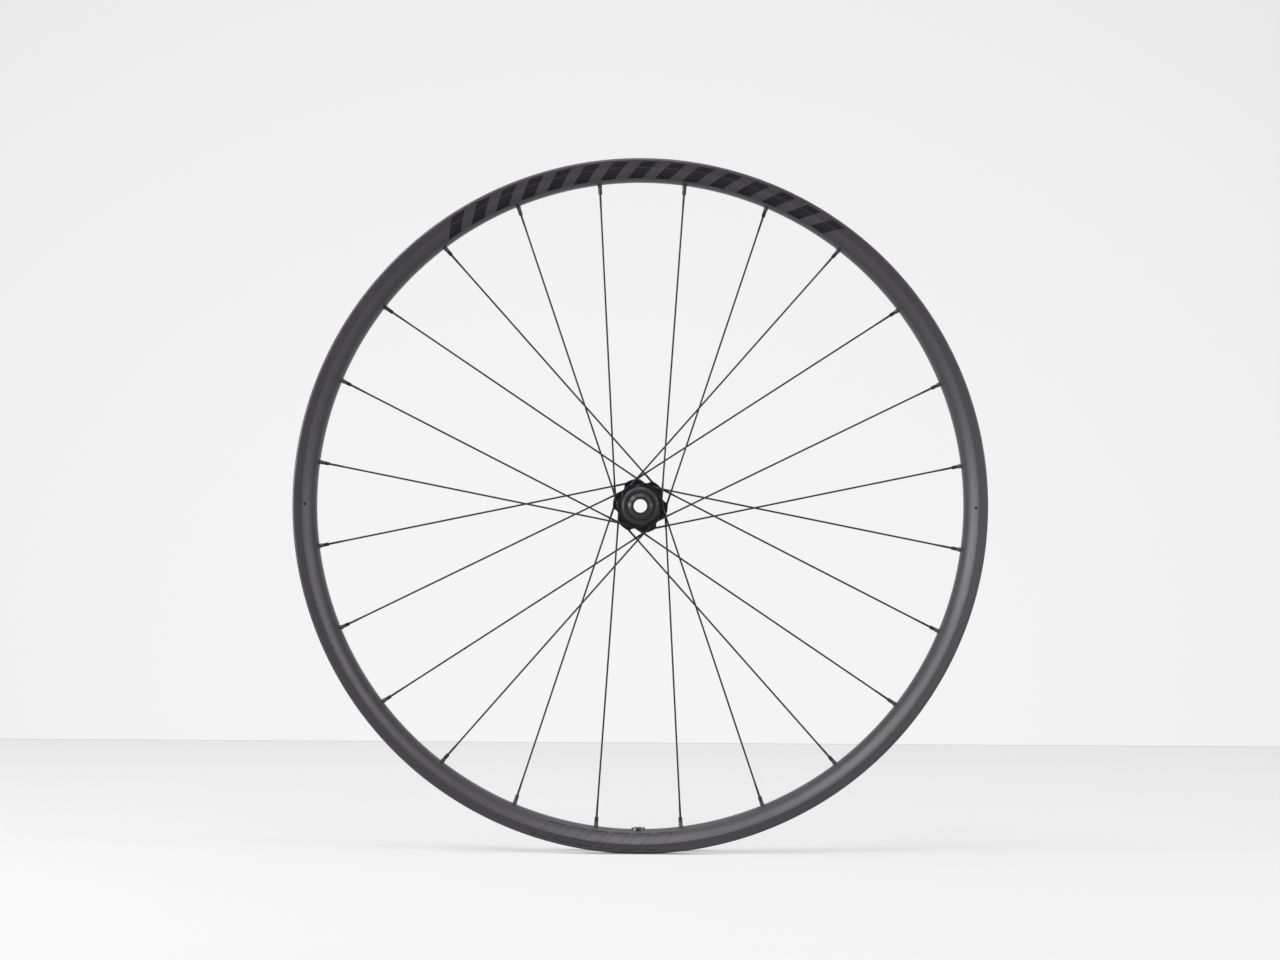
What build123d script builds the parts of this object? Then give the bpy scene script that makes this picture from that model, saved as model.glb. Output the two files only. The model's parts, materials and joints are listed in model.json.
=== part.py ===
"""Front bicycle wheel: carbon rim, 24 straight-pull spokes, six-bolt hub on a 12 mm axle.

The axle lies along Y, Z is up and the origin is the centre of the wheel.
The plain side of the hub is at -Y and the rotor side is at +Y.
Lengths are in millimetres, angles in degrees, seen from -Y with X to the right.
"""
import os
from math import asin, cos, degrees, radians, sin

from build123d import *

# Rim section
RIM_OUTER_R = 316.5
RIM_DEPTH = 21.0
RIM_HALF_WIDTH = 17.5
LIP_H = 5.5
LIP_T = 3.0
CROWN_FLAT = 1.8
CREASE_TILT = 14.0
WALL_DRAFT = 0.15
LIP_OUTER_FILLET = 2.1
LIP_INNER_FILLET = 0.7
BEAD_FILLET = 0.8
BEAD_SEAT_W = 4.1
BEAD_DIP = 0.4
HUMP_HALF_W = 0.8
HUMP_DROP = 0.6
CHANNEL_DEPTH = 4.4
CHANNEL_SLOPE_W = 3.0
CROWN_WALL = 3.5
SIDE_WALL = 1.9
BED_WALL = 2.0
CAVITY_WALL_H = 1.5
CAVITY_TOP_MARGIN = 4.1
CAVITY_SHOULDER_MARGIN = 0.4
CAVITY_FLOOR_MARGIN = 0.8

BEAD_SEAT_R = RIM_OUTER_R - LIP_H
BEAD_INNER_R = BEAD_SEAT_R - BEAD_DIP
HUMP_R = BEAD_INNER_R + BEAD_DIP
CHANNEL_TOP_R = HUMP_R - HUMP_DROP
CHANNEL_R = BEAD_SEAT_R - CHANNEL_DEPTH
CROWN_R = RIM_OUTER_R - RIM_DEPTH
RIM_INNER_HALF_WIDTH = RIM_HALF_WIDTH - LIP_T
BEAD_INNER_Y = RIM_INNER_HALF_WIDTH - BEAD_SEAT_W
HUMP_Y = BEAD_INNER_Y - HUMP_HALF_W
CHANNEL_TOP_Y = HUMP_Y - HUMP_HALF_W
CHANNEL_FLOOR_Y = CHANNEL_TOP_Y - CHANNEL_SLOPE_W
CROWN_ARC_R = (RIM_HALF_WIDTH - CROWN_FLAT) / cos(radians(CREASE_TILT))
CAVITY_ARC_R = CROWN_ARC_R - SIDE_WALL
CAVITY_CROWN_R = CROWN_R + CROWN_WALL
CAVITY_FLOOR_R = CHANNEL_R - BED_WALL
CAVITY_TOP_R = BEAD_SEAT_R - BED_WALL
CAVITY_WALL_R = CAVITY_TOP_R - CAVITY_WALL_H
CAVITY_TOP_Y = RIM_HALF_WIDTH - CAVITY_TOP_MARGIN
CAVITY_SHOULDER_Y = CHANNEL_TOP_Y + CAVITY_SHOULDER_MARGIN
CAVITY_FLOOR_Y = CHANNEL_FLOOR_Y - CAVITY_FLOOR_MARGIN

# Spokes
SPOKE_COUNT = 24
SPOKES_PER_LOBE_PAIR = 4
SPOKE_END_R = 1.0
SPOKE_MID_R = 0.82
SPOKE_HEAD_R = 2.0
SPOKE_HEAD_L = 1.7
SPOKE_HEAD_EDGE_L = 0.85
SPOKE_HEAD_BEVEL = 0.8
SPOKE_BUTT_L = 16.0
SPOKE_TAPER_L = 10.0
SPOKE_THREAD_L = 20.0
SPOKE_PAST_SEAT = 1.4

SPOKE_PITCH = 360.0 / SPOKE_COUNT
FIRST_SPOKE_ANGLE = SPOKE_PITCH / 2

# Nipples
NIPPLE_HEAD_R = 3.0
NIPPLE_HEAD_H = 2.4
NIPPLE_HEAD_EDGE_H = 1.2
NIPPLE_HEAD_BEVEL = 0.9
NIPPLE_SHANK_R = 2.0
NIPPLE_SHANK_L = 11.6
NIPPLE_ROUND_L = 5.4
NIPPLE_FLATS = 3.25
NIPPLE_THREAD_GAP = 0.03

NIPPLE_BORE_R = SPOKE_END_R + NIPPLE_THREAD_GAP

# Holes in the rim
CUT_MARGIN = 1.0
SIZE_TOLERANCE = 0.001
SPOT_FACE_DEPTH = 0.5
NIPPLE_HOLE_GAP = 0.25
SPOT_FACE_GAP = 0.8
ACCESS_HOLE_GAP = 1.25
VALVE_HOLE_R = 3.25
VALVE_BOSS_WALL = 3.55
VALVE_BOSS_RISE = 1.5
VALVE_BOSS_BEVEL = 0.5
VALVE_ANGLE = 270.0
VENT_R = 1.1
VENT_INSET = 11.2
VENT_ANGLES = (0.0, 180.0)

NIPPLE_SEAT_R = CAVITY_CROWN_R - SPOT_FACE_DEPTH
NIPPLE_HOLE_R = NIPPLE_SHANK_R + NIPPLE_HOLE_GAP
SPOT_FACE_R = NIPPLE_HEAD_R + SPOT_FACE_GAP
ACCESS_HOLE_R = NIPPLE_HEAD_R + ACCESS_HOLE_GAP
VALVE_BOSS_R = VALVE_HOLE_R + VALVE_BOSS_WALL
VENT_PITCH_R = RIM_OUTER_R - VENT_INSET

# Rim strip
STRIP_T = 0.8
STRIP_MARGIN = 0.6

STRIP_HALF_WIDTH = CHANNEL_TOP_Y - STRIP_MARGIN

# Axle set
OVER_LOCKNUT = 100.0
AXLE_BORE_R = 6.1
AXLE_WALL = 2.4
AXLE_SHOULDER_STEP = 1.1
AXLE_END_INSET = 3.5
CAP_L = 9.6
CAP_LEAD = 0.3
CAP_FACE_W = 2.0
CAP_BEVEL_Y = 2.4
CAP_BODY_STEP = 1.5
CAP_NECK_GAP = 0.25
CAP_FLANGE_GAP = 0.4
CAP_FLANGE_T = 1.0
CAP_FLANGE_CLEARANCE = 0.5
O_RING_T = 0.7
O_RING_W = 1.4
O_RING_INSET = 1.8

AXLE_SEAT_R = AXLE_BORE_R + AXLE_WALL
AXLE_SHOULDER_R = AXLE_SEAT_R + AXLE_SHOULDER_STEP
CAP_END_Y = OVER_LOCKNUT / 2
AXLE_END_Y = CAP_END_Y - AXLE_END_INSET
BEARING_FACE_Y = CAP_END_Y - CAP_L
CAP_FACE_R = AXLE_BORE_R + CAP_LEAD + CAP_FACE_W
O_RING_R = AXLE_SEAT_R + O_RING_T

# Bearings
BEARING_W = 5.0
BALL_COUNT = 12
BALL_R = 1.39
GROOVE_GAP = 0.07
GROOVE_FLOOR = 0.79
RACE_GAP = 1.6
CAGE_RACE_GAP = 0.35
CAGE_SEAL_GAP = 0.15
POCKET_GAP = 0.11
SEAL_T = 0.35
SEAL_INSET = 0.1
SEAL_LIP_GAP = 0.15

GROOVE_R = BALL_R + GROOVE_GAP
BALL_PITCH_R = AXLE_SEAT_R + GROOVE_FLOOR + GROOVE_R
BEARING_OUTER_R = BALL_PITCH_R + GROOVE_R + GROOVE_FLOOR
INNER_RACE_R = BALL_PITCH_R - RACE_GAP / 2
OUTER_RACE_R = BALL_PITCH_R + RACE_GAP / 2
CAGE_INNER_R = INNER_RACE_R + CAGE_RACE_GAP
CAGE_OUTER_R = OUTER_RACE_R - CAGE_RACE_GAP
CAGE_HALF_W = BEARING_W / 2 - SEAL_INSET - SEAL_T - CAGE_SEAL_GAP
POCKET_R = BALL_R + POCKET_GAP
BEARING_Y = BEARING_FACE_Y - BEARING_W / 2
BEARING_BACK_Y = BEARING_FACE_Y - BEARING_W
CAP_NECK_R = INNER_RACE_R - CAP_NECK_GAP
CAP_R = CAP_NECK_R + CAP_BODY_STEP
CAP_FLANGE_R = BEARING_OUTER_R - CAP_FLANGE_CLEARANCE

# Hub
SPOKE_BORE_GAP = 0.2
SEAT_SPOT_GAP = 0.4
SEAT_DEPTH = 0.3
SEAT_POCKET_L = 6.8
LAYER = 2.2
LOBE_EDGE = 0.4
LOBE_ROOT_WALL = 0.6
FLANGE_BEVEL = 0.5
DRUM_STEP = 1.0
NEAR_FLANGE_INSET = 7.4
NEAR_TANGENT_R = 18.8
NEAR_LOBE_WALL = 2.4
NEAR_VALLEY_DROP = 0.2
NEAR_SCALLOP_R = 8.9
NEAR_TIP_FILLET = 1.0
FAR_FLANGE_INSET = 19.5
FAR_TANGENT_R = 22.7
FAR_LOBE_WALL = 2.6
FAR_VALLEY_DROP = 1.3
FAR_SCALLOP_R = 7.2
FAR_TIP_FILLET = 1.0
FAR_LOBE_SKEW = -2.6
NOSE_COVER = 1.6
NOSE_WALL = 0.8
NOSE_STEP = 1.1
BEARING_SHOULDER = 1.4
BARREL_WALL = 2.6
BARREL_NEAR_FLARE = 6.0
BARREL_FAR_FLARE = 8.0
BARREL_FILLET = 8.0

SPOKE_BORE_R = SPOKE_END_R + SPOKE_BORE_GAP
SEAT_SPOT_R = SPOKE_HEAD_R + SEAT_SPOT_GAP
LOBE_HALF_T = LAYER + SEAT_SPOT_R + LOBE_EDGE
LOBE_COUNT = SPOKE_COUNT // SPOKES_PER_LOBE_PAIR
LOBE_PITCH = 360.0 / LOBE_COUNT
NEAR_LOBE_R = NEAR_TANGENT_R + NEAR_LOBE_WALL
NEAR_VALLEY_R = NEAR_TANGENT_R - NEAR_VALLEY_DROP
NEAR_DRUM_R = NEAR_VALLEY_R - DRUM_STEP
NEAR_LOBE_ANGLE = FIRST_SPOKE_ANGLE + 2 * SPOKE_PITCH - 90
FAR_LOBE_R = FAR_TANGENT_R + FAR_LOBE_WALL
FAR_VALLEY_R = FAR_TANGENT_R - FAR_VALLEY_DROP
FAR_DRUM_R = FAR_VALLEY_R - DRUM_STEP
FAR_LOBE_ANGLE = FIRST_SPOKE_ANGLE + SPOKE_PITCH - 90
NOSE_FACE_R = BEARING_OUTER_R + NOSE_WALL
NOSE_BASE_R = NEAR_VALLEY_R - NOSE_STEP
NOSE_Y = -BEARING_FACE_Y - NOSE_COVER
HUB_BORE_R = BEARING_OUTER_R - BEARING_SHOULDER
BARREL_R = HUB_BORE_R + BARREL_WALL
LOBE_ROOT_R = BEARING_OUTER_R + LOBE_ROOT_WALL

# Rotor mount
ROTOR_FACE_INSET = 0.9
ROTOR_MOUNT_T = 9.0
ROTOR_PCD = 44.0
ROTOR_HOLE_R = 2.1
ROTOR_HOLE_CHAMFER = 0.4
ROTOR_ARM_WALL = 1.3
ROTOR_PILOT_R = 17.45
ROTOR_PILOT_L = 2.5
ROTOR_PILOT_CHAMFER = 0.5
ROTOR_DRUM_STEP = 0.85
ROTOR_VALLEY_FILLET = 1.5
WAIST_DROP = 1.3
WAIST_RUN = 2.0

ROTOR_FACE_Y = BEARING_FACE_Y - ROTOR_FACE_INSET
ROTOR_ARM_R = ROTOR_HOLE_R + ROTOR_ARM_WALL
ROTOR_DRUM_R = ROTOR_PILOT_R + ROTOR_DRUM_STEP
WAIST_R = ROTOR_DRUM_R - WAIST_DROP
NEAR_FLANGE_Y = NEAR_FLANGE_INSET - BEARING_FACE_Y
FAR_FLANGE_Y = ROTOR_FACE_Y - FAR_FLANGE_INSET


def polar(radius, angle, y=0.0):
    """Point at a radius and an angle about the axle."""
    return Vector(radius * cos(radians(angle)), y, radius * sin(radians(angle)))


def turned(points):
    """Solid turned about the axle from (radius, y) points."""
    outline = Polyline(*points, close=True)
    return revolve(make_face(outline), Axis.Y)


def along(start, direction):
    """Plane at a point with its z along a direction."""
    return Plane(origin=start, z_dir=direction)


def drilled(start, direction, radius, length):
    """Round tool that starts at a point and runs along a direction."""
    return along(start, direction) * Cylinder(
        radius, length, align=(Align.CENTER, Align.CENTER, Align.MIN)
    )


def spoke_axis(index):
    """Foot of the spoke on its flange, its unit direction and its nipple seat."""
    kind = index % 4
    rim_angle = FIRST_SPOKE_ANGLE + index * SPOKE_PITCH
    far_side = kind in (0, 2)
    turn = 1 if kind < 2 else -1
    tangent_r = FAR_TANGENT_R if far_side else NEAR_TANGENT_R
    flange_y = FAR_FLANGE_Y if far_side else NEAR_FLANGE_Y
    lean = degrees(asin(tangent_r / NIPPLE_SEAT_R))
    foot_angle = rim_angle + turn * (lean - 90)
    foot = polar(tangent_r, foot_angle, flange_y - turn * LAYER)
    seat = polar(NIPPLE_SEAT_R, rim_angle)
    return foot, (seat - foot).normalized(), seat


def rim_section():
    """Face of the rim section in (radius, y)."""
    arc_centre_r = CROWN_R + CROWN_ARC_R
    mid_tilt = radians((90 + CREASE_TILT) / 2)
    tilt = radians(CREASE_TILT)
    crease = (arc_centre_r - CROWN_ARC_R * sin(tilt), CROWN_FLAT + CROWN_ARC_R * cos(tilt))
    arc_mid = (arc_centre_r - CROWN_ARC_R * sin(mid_tilt), CROWN_FLAT + CROWN_ARC_R * cos(mid_tilt))
    lip_y = RIM_HALF_WIDTH - WALL_DRAFT
    right = [
        Line((CROWN_R, 0), (CROWN_R, CROWN_FLAT)),
        ThreePointArc((CROWN_R, CROWN_FLAT), arc_mid, crease),
        Polyline(
            crease,
            (RIM_OUTER_R, lip_y),
            (RIM_OUTER_R, RIM_INNER_HALF_WIDTH),
            (BEAD_SEAT_R, RIM_INNER_HALF_WIDTH),
            (BEAD_INNER_R, BEAD_INNER_Y),
            (HUMP_R, HUMP_Y),
            (CHANNEL_TOP_R, CHANNEL_TOP_Y),
            (CHANNEL_R, CHANNEL_FLOOR_Y),
            (CHANNEL_R, 0),
            (CROWN_R, 0),
        ),
    ]
    half = make_face(Wire(Curve() + right))
    rounds = (
        ((RIM_OUTER_R, lip_y), LIP_OUTER_FILLET),
        ((RIM_OUTER_R, RIM_INNER_HALF_WIDTH), LIP_INNER_FILLET),
        ((BEAD_SEAT_R, RIM_INNER_HALF_WIDTH), BEAD_FILLET),
    )
    for corner, size in rounds:
        nearest = half.vertices().sort_by_distance(Vector(*corner))[0]
        half = fillet(nearest, size)
    return half + mirror(half, Plane.XZ)


def cavity_section():
    """Face of the hollow inside the rim section in (radius, y)."""
    centre_r = CAVITY_CROWN_R + CAVITY_ARC_R
    tilt = asin((centre_r - CAVITY_WALL_R) / CAVITY_ARC_R)
    mid_tilt = (radians(90) + tilt) / 2
    end = (centre_r - CAVITY_ARC_R * sin(tilt), CROWN_FLAT + CAVITY_ARC_R * cos(tilt))
    mid = (centre_r - CAVITY_ARC_R * sin(mid_tilt), CROWN_FLAT + CAVITY_ARC_R * cos(mid_tilt))
    edges = [
        Line((CAVITY_CROWN_R, 0), (CAVITY_CROWN_R, CROWN_FLAT)),
        ThreePointArc((CAVITY_CROWN_R, CROWN_FLAT), mid, end),
        Polyline(
            end,
            (CAVITY_TOP_R, CAVITY_TOP_Y),
            (CAVITY_TOP_R, CAVITY_SHOULDER_Y),
            (CAVITY_FLOOR_R, CAVITY_FLOOR_Y),
            (CAVITY_FLOOR_R, 0),
            (CAVITY_CROWN_R, 0),
        ),
    ]
    half = make_face(Wire(Curve() + edges))
    return half + mirror(half, Plane.XZ)


def build_rim():
    """Hollow rim with its valve seat and all its holes."""
    rim = revolve(rim_section(), Axis.Y)
    outward = polar(1, VALVE_ANGLE)
    boss_l = VALVE_BOSS_RISE + CROWN_WALL / 2
    boss = turned(
        [
            (0, 0),
            (VALVE_BOSS_R - VALVE_BOSS_BEVEL, 0),
            (VALVE_BOSS_R, VALVE_BOSS_BEVEL),
            (VALVE_BOSS_R, boss_l),
            (0, boss_l),
        ]
    )
    rim += along(polar(CROWN_R - VALVE_BOSS_RISE, VALVE_ANGLE), outward) * Rot(90, 0, 0) * boss
    rim -= revolve(cavity_section(), Axis.Y)
    shank_l = CROWN_WALL + NIPPLE_SHANK_L
    spot_l = (CAVITY_FLOOR_R - NIPPLE_SEAT_R) / 2
    tools = []
    for index in range(SPOKE_COUNT):
        _, direction, seat = spoke_axis(index)
        tools.append(drilled(seat - direction * shank_l, direction, NIPPLE_HOLE_R, shank_l + CUT_MARGIN))
        tools.append(drilled(seat, direction, SPOT_FACE_R, spot_l))
        tools.append(drilled(seat + direction * spot_l, direction, ACCESS_HOLE_R, RIM_DEPTH - spot_l))
    valve_start = CROWN_R - VALVE_BOSS_RISE - CUT_MARGIN
    tools.append(drilled(polar(valve_start, VALVE_ANGLE), outward, VALVE_HOLE_R, RIM_OUTER_R - valve_start))
    vent_l = CAVITY_TOP_MARGIN + 2 * CUT_MARGIN
    for angle in VENT_ANGLES:
        start = polar(VENT_PITCH_R, angle, -RIM_HALF_WIDTH - CUT_MARGIN)
        tools.append(drilled(start, Vector(0, 1, 0), VENT_R, vent_l))
    return rim - tools


def build_rim_strip():
    """Thin strip on the floor and slopes of the tyre channel."""
    floor = CHANNEL_R
    rise = (CHANNEL_TOP_R - CHANNEL_R) / (CHANNEL_TOP_Y - CHANNEL_FLOOR_Y)
    edge_r = floor + rise * (STRIP_HALF_WIDTH - CHANNEL_FLOOR_Y)
    strip = turned(
        [
            (floor, -CHANNEL_FLOOR_Y),
            (floor, CHANNEL_FLOOR_Y),
            (edge_r, STRIP_HALF_WIDTH),
            (edge_r + STRIP_T, STRIP_HALF_WIDTH),
            (floor + STRIP_T, CHANNEL_FLOOR_Y - STRIP_T / 2),
            (floor + STRIP_T, -CHANNEL_FLOOR_Y + STRIP_T / 2),
            (edge_r + STRIP_T, -STRIP_HALF_WIDTH),
            (edge_r, -STRIP_HALF_WIDTH),
        ]
    )
    valve_start = polar(floor - CUT_MARGIN, VALVE_ANGLE)
    return strip - drilled(valve_start, polar(1, VALVE_ANGLE), VALVE_HOLE_R, LIP_H + CHANNEL_DEPTH)


def build_spoke(index):
    """Butted straight-pull spoke from its head to the thread in its nipple."""
    foot, direction, seat = spoke_axis(index)
    start = foot - direction * SEAT_DEPTH
    length = (seat - start).length + SPOKE_PAST_SEAT
    thread = length - SPOKE_THREAD_L
    profile = Polyline(
        (0, -SPOKE_HEAD_L),
        (SPOKE_HEAD_R - SPOKE_HEAD_BEVEL, -SPOKE_HEAD_L),
        (SPOKE_HEAD_R, -SPOKE_HEAD_EDGE_L),
        (SPOKE_HEAD_R, 0),
        (SPOKE_END_R, 0),
        (SPOKE_END_R, SPOKE_BUTT_L),
        (SPOKE_MID_R, SPOKE_BUTT_L + SPOKE_TAPER_L),
        (SPOKE_MID_R, thread - SPOKE_TAPER_L),
        (SPOKE_END_R, thread),
        (SPOKE_END_R, length),
        (0, length),
        close=True,
    )
    spoke = revolve(Plane.XZ * make_face(profile), Axis.Z)
    return along(start, direction) * spoke


def build_nipple(index):
    """Nipple with a flat-seated head, a round shank and wrench flats."""
    _, direction, seat = spoke_axis(index)
    profile = Polyline(
        (NIPPLE_BORE_R, -NIPPLE_SHANK_L),
        (NIPPLE_SHANK_R, -NIPPLE_SHANK_L),
        (NIPPLE_SHANK_R, 0),
        (NIPPLE_HEAD_R, 0),
        (NIPPLE_HEAD_R, NIPPLE_HEAD_EDGE_H),
        (NIPPLE_HEAD_R - NIPPLE_HEAD_BEVEL, NIPPLE_HEAD_H),
        (NIPPLE_BORE_R, NIPPLE_HEAD_H),
        close=True,
    )
    nipple = revolve(Plane.XZ * make_face(profile), Axis.Z)
    flats_l = NIPPLE_SHANK_L - NIPPLE_ROUND_L
    outside = 2 * NIPPLE_SHANK_R + CUT_MARGIN
    block = Box(outside, outside, flats_l) - Box(NIPPLE_FLATS, NIPPLE_FLATS, flats_l)
    nipple -= Pos(0, 0, -NIPPLE_SHANK_L + flats_l / 2) * block
    return along(seat, direction) * nipple


def flange(lobe_angle, lobe_r, valley_r, scallop_r, flange_y, tip_fillet):
    """Flange with a ring of rounded lobes between scallops and with bevelled faces."""
    face = Sketch() + Circle(lobe_r)
    for step in range(LOBE_COUNT):
        face -= Rot(0, 0, (step + 0.5) * LOBE_PITCH) * Pos(valley_r + scallop_r, 0) * Circle(scallop_r)
    tips = [v for v in face.vertices() if abs(Vector(v.X, v.Y).length - lobe_r) < SIZE_TOLERANCE]
    face = fillet(tips, tip_fillet)
    plane = Plane(
        origin=(0, flange_y - LOBE_HALF_T, 0),
        x_dir=polar(1, lobe_angle),
        z_dir=(0, -1, 0),
    )
    solid = extrude(plane * face, -2 * LOBE_HALF_T)
    ends = solid.faces().sort_by(Axis.Y)
    return chamfer(ends[0].edges() + ends[-1].edges(), FLANGE_BEVEL)


def rotor_mount():
    """Star of arms around the rotor bolt holes."""
    bolt_r = ROTOR_PCD / 2
    arm = Pos(bolt_r, 0) * Circle(ROTOR_ARM_R)
    arm += Pos((bolt_r + LOBE_ROOT_R) / 2, 0) * Rectangle(bolt_r - LOBE_ROOT_R, 2 * ROTOR_ARM_R)
    face = Sketch() + Circle(ROTOR_DRUM_R)
    for step in range(LOBE_COUNT):
        face += Rot(0, 0, step * LOBE_PITCH) * arm
    valleys = [v for v in face.vertices() if abs(Vector(v.X, v.Y).length - ROTOR_DRUM_R) < SIZE_TOLERANCE]
    face = fillet(valleys, ROTOR_VALLEY_FILLET)
    plane = Plane(
        origin=(0, ROTOR_FACE_Y, 0),
        x_dir=polar(1, FAR_LOBE_ANGLE),
        z_dir=(0, 1, 0),
    )
    return extrude(plane * face, -ROTOR_MOUNT_T)


def build_hub_shell():
    """Hub shell with two lobed flanges, a rotor mount and two bearing seats."""
    near_face = NEAR_FLANGE_Y - LOBE_HALF_T
    near_back = NEAR_FLANGE_Y + LOBE_HALF_T
    far_face = FAR_FLANGE_Y - LOBE_HALF_T
    far_back = FAR_FLANGE_Y + LOBE_HALF_T
    barrel_near = near_back + BARREL_NEAR_FLARE
    barrel_far = far_face - BARREL_FAR_FLARE
    rotor_back = ROTOR_FACE_Y - ROTOR_MOUNT_T
    end_y = ROTOR_FACE_Y + ROTOR_PILOT_L
    bearing_room = turned(
        [(0, NOSE_Y), (BEARING_OUTER_R, NOSE_Y), (BEARING_OUTER_R, end_y), (0, end_y)]
    )
    turn_mid = radians(45)
    nose_mid = (
        NOSE_FACE_R + (NOSE_BASE_R - NOSE_FACE_R) * sin(turn_mid),
        near_face - (near_face - NOSE_Y) * cos(turn_mid),
    )
    edges = [
        Line((BEARING_OUTER_R, NOSE_Y), (NOSE_FACE_R, NOSE_Y)),
        ThreePointArc((NOSE_FACE_R, NOSE_Y), nose_mid, (NOSE_BASE_R, near_face)),
        Polyline(
            (NOSE_BASE_R, near_face),
            (NOSE_BASE_R, near_face + FLANGE_BEVEL),
            (NEAR_DRUM_R, near_face + FLANGE_BEVEL),
            (NEAR_DRUM_R, near_back),
            (BARREL_R, barrel_near),
            (BARREL_R, barrel_far),
            (FAR_DRUM_R, far_face),
            (FAR_DRUM_R, far_back),
            (WAIST_R, far_back + WAIST_RUN),
            (WAIST_R, rotor_back),
            (ROTOR_DRUM_R, rotor_back),
            (ROTOR_DRUM_R, ROTOR_FACE_Y),
            (ROTOR_PILOT_R, ROTOR_FACE_Y),
            (ROTOR_PILOT_R, end_y - ROTOR_PILOT_CHAMFER),
            (ROTOR_PILOT_R - ROTOR_PILOT_CHAMFER, end_y),
            (BEARING_OUTER_R, end_y),
            (BEARING_OUTER_R, BEARING_BACK_Y),
            (HUB_BORE_R, BEARING_BACK_Y),
            (HUB_BORE_R, -BEARING_BACK_Y),
            (BEARING_OUTER_R, -BEARING_BACK_Y),
            (BEARING_OUTER_R, NOSE_Y),
        ),
    ]
    section = make_face(Wire(Curve() + edges))
    for barrel_y in (barrel_near, barrel_far):
        corner = section.vertices().sort_by_distance(Vector(BARREL_R, barrel_y))[0]
        section = fillet(corner, BARREL_FILLET)
    shell = revolve(section, Axis.Y)
    near_flange = flange(
        NEAR_LOBE_ANGLE, NEAR_LOBE_R, NEAR_VALLEY_R, NEAR_SCALLOP_R, NEAR_FLANGE_Y, NEAR_TIP_FILLET
    )
    far_flange = flange(
        FAR_LOBE_ANGLE + FAR_LOBE_SKEW, FAR_LOBE_R, FAR_VALLEY_R, FAR_SCALLOP_R, FAR_FLANGE_Y, FAR_TIP_FILLET
    )
    shell += near_flange - bearing_room
    shell += far_flange - bearing_room
    shell += rotor_mount() - bearing_room
    tools = []
    for index in range(SPOKE_COUNT):
        foot, direction, _ = spoke_axis(index)
        seat = foot - direction * SEAT_DEPTH
        tools.append(drilled(seat - direction * CUT_MARGIN, direction, SPOKE_BORE_R, FAR_LOBE_R))
        tools.append(drilled(seat, direction * -1, SEAT_SPOT_R, SEAT_POCKET_L))
    for step in range(LOBE_COUNT):
        spot = polar(ROTOR_PCD / 2, FAR_LOBE_ANGLE + step * LOBE_PITCH, ROTOR_FACE_Y)
        tools.append(drilled(spot, Vector(0, -1, 0), ROTOR_HOLE_R, ROTOR_MOUNT_T + CUT_MARGIN))
        tools.append(
            along(spot, Vector(0, -1, 0))
            * Pos(0, 0, ROTOR_HOLE_CHAMFER / 2)
            * Cone(ROTOR_HOLE_R + ROTOR_HOLE_CHAMFER, ROTOR_HOLE_R, ROTOR_HOLE_CHAMFER)
        )
    return shell - tools


def build_axle_tube():
    """Axle tube with a shoulder between the two inner races."""
    return turned(
        [
            (AXLE_BORE_R, -AXLE_END_Y),
            (AXLE_SEAT_R, -AXLE_END_Y),
            (AXLE_SEAT_R, -BEARING_BACK_Y),
            (AXLE_SHOULDER_R, -BEARING_BACK_Y),
            (AXLE_SHOULDER_R, BEARING_BACK_Y),
            (AXLE_SEAT_R, BEARING_BACK_Y),
            (AXLE_SEAT_R, AXLE_END_Y),
            (AXLE_BORE_R, AXLE_END_Y),
        ]
    )


def build_end_cap(side):
    """End cap that slides over the axle tube, shields the bearing and meets the fork end."""
    groove = BEARING_FACE_Y + O_RING_INSET
    flange_in = BEARING_FACE_Y + CAP_FLANGE_GAP
    flange_out = flange_in + CAP_FLANGE_T
    points = [
        (AXLE_BORE_R + CAP_LEAD, CAP_END_Y),
        (CAP_FACE_R, CAP_END_Y),
        (CAP_R, CAP_END_Y - CAP_BEVEL_Y),
        (CAP_R, flange_out),
        (CAP_FLANGE_R, flange_out),
        (CAP_FLANGE_R, flange_in),
        (CAP_NECK_R, flange_in),
        (CAP_NECK_R, BEARING_FACE_Y),
        (AXLE_SEAT_R, BEARING_FACE_Y),
        (AXLE_SEAT_R, groove),
        (O_RING_R, groove),
        (O_RING_R, groove + O_RING_W),
        (AXLE_SEAT_R, groove + O_RING_W),
        (AXLE_SEAT_R, AXLE_END_Y),
        (AXLE_BORE_R, AXLE_END_Y),
        (AXLE_BORE_R, CAP_END_Y - CAP_LEAD),
    ]
    return turned([(r, side * y) for r, y in points])


def build_o_ring(side):
    """O-ring squeezed between an end cap and the axle tube."""
    start = BEARING_FACE_Y + O_RING_INSET
    points = [
        (AXLE_SEAT_R, start),
        (O_RING_R, start),
        (O_RING_R, start + O_RING_W),
        (AXLE_SEAT_R, start + O_RING_W),
    ]
    return turned([(r, side * y) for r, y in points])


def bearing_ring(inner_r, outer_r, y):
    """Plain race with the ball groove turned into it."""
    low = y - BEARING_W / 2
    high = y + BEARING_W / 2
    ring = turned([(inner_r, low), (outer_r, low), (outer_r, high), (inner_r, high)])
    groove = Pos(0, y, 0) * Rot(90, 0, 0) * Torus(BALL_PITCH_R, GROOVE_R)
    return ring - groove


def build_balls(y):
    """Set of balls on the pitch circle of one bearing."""
    step = 360.0 / BALL_COUNT
    balls = [Pos(*polar(BALL_PITCH_R, i * step, y)) * Sphere(BALL_R) for i in range(BALL_COUNT)]
    return Compound(children=balls)


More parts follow.
